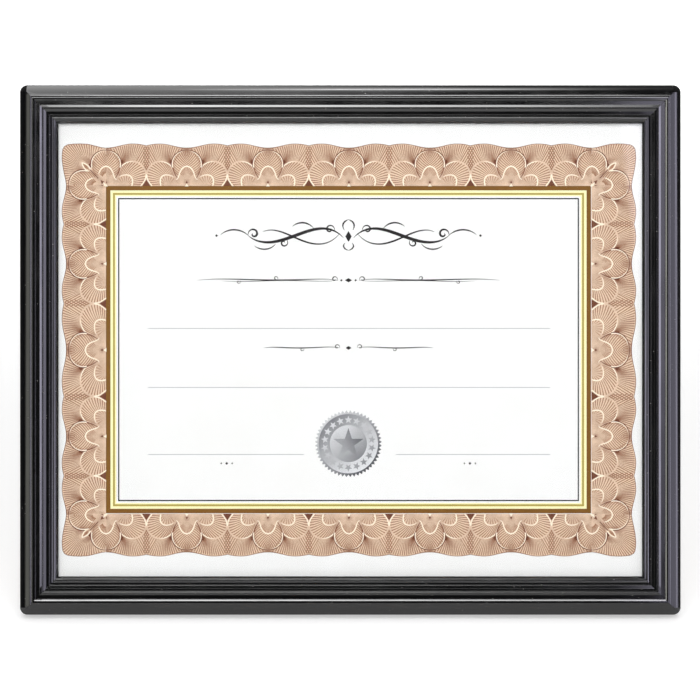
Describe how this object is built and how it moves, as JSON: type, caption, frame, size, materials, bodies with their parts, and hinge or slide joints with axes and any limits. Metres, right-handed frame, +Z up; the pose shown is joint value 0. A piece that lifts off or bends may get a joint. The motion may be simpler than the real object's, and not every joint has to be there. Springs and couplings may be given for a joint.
{
  "type": "certificate frame",
  "caption": "Landscape letter-size certificate frame in black stepped plastic moulding with clear face, printed sheet with seal, hardboard back, turn buttons and an easel leg.",
  "frame": {"origin": "centre of the footprint of the frame standing on its easel leg, on the surface it stands on", "axes": "+X to the right seen from the front, along the frame's long side; +Y to the rear; +Z up. The frame leans back 15 degrees from vertical."},
  "size_m": [0.311, 0.0954, 0.2438],
  "materials": {
    "black_moulding": "glossy black extruded plastic moulding",
    "clear_sheet": "clear polished styrene sheet",
    "silver_foil": "embossed silver foil",
    "certificate_card": "white card with a salmon and gold guilloche border",
    "filler_board": "grey pulp board",
    "hardboard": "brown pressed hardboard, smooth side out",
    "zinc_steel": "bright zinc-plated steel"
  },
  "bodies": {
    "frame": {"bottom_rail": "black_moulding", "right_rail": "black_moulding", "top_rail": "black_moulding", "left_rail": "black_moulding", "clear_face": "clear_sheet", "foil_seal": "silver_foil", "certificate": "certificate_card", "filler_card": "filler_board", "back_panel": "hardboard", "corner_vnails": "zinc_steel", "button_screws": "zinc_steel", "landscape_hanger": "zinc_steel", "portrait_hanger": "zinc_steel", "hanger_rivets": "zinc_steel", "hinge_fixed_leaf": "zinc_steel", "hinge_pin": "zinc_steel", "hinge_panel_rivets": "zinc_steel"},
    "easel_leg": {"easel_leg": "hardboard", "hinge_moving_leaf": "zinc_steel", "hinge_leg_rivets": "zinc_steel"},
    "turn_button_1": {"turn_button_1": "zinc_steel"},
    "turn_button_2": {"turn_button_2": "zinc_steel"},
    "turn_button_3": {"turn_button_3": "zinc_steel"},
    "turn_button_4": {"turn_button_4": "zinc_steel"},
    "turn_button_5": {"turn_button_5": "zinc_steel"},
    "turn_button_6": {"turn_button_6": "zinc_steel"},
    "turn_button_7": {"turn_button_7": "zinc_steel"},
    "turn_button_8": {"turn_button_8": "zinc_steel"}
  },
  "joints": [
    {"name": "leg_hinge", "type": "hinge", "parent": "frame", "child": "easel_leg", "pos_m": [0, 0.00993, 0.1589], "axis": [1, 0, 0], "range_deg": [-28, 0]},
    {"name": "button_1_turn", "type": "hinge", "parent": "frame", "child": "turn_button_1", "pos_m": [-0.0955, 0.02838, 0.23295], "axis": [0, 0.9659, -0.2588], "continuous": true},
    {"name": "button_2_turn", "type": "hinge", "parent": "frame", "child": "turn_button_2", "pos_m": [0.0955, 0.02838, 0.23295], "axis": [0, 0.9659, -0.2588], "continuous": true},
    {"name": "button_3_turn", "type": "hinge", "parent": "frame", "child": "turn_button_3", "pos_m": [0.1475, 0.01492, 0.18272], "axis": [0, 0.9659, -0.2588], "continuous": true},
    {"name": "button_4_turn", "type": "hinge", "parent": "frame", "child": "turn_button_4", "pos_m": [0.1475, -0.01855, 0.05783], "axis": [0, 0.9659, -0.2588], "continuous": true},
    {"name": "button_5_turn", "type": "hinge", "parent": "frame", "child": "turn_button_5", "pos_m": [0.0955, -0.03201, 0.0076], "axis": [0, 0.9659, -0.2588], "continuous": true},
    {"name": "button_6_turn", "type": "hinge", "parent": "frame", "child": "turn_button_6", "pos_m": [-0.0955, -0.03201, 0.0076], "axis": [0, 0.9659, -0.2588], "continuous": true},
    {"name": "button_7_turn", "type": "hinge", "parent": "frame", "child": "turn_button_7", "pos_m": [-0.1475, -0.01855, 0.05783], "axis": [0, 0.9659, -0.2588], "continuous": true},
    {"name": "button_8_turn", "type": "hinge", "parent": "frame", "child": "turn_button_8", "pos_m": [-0.1475, 0.01492, 0.18272], "axis": [0, 0.9659, -0.2588], "continuous": true}
  ]
}
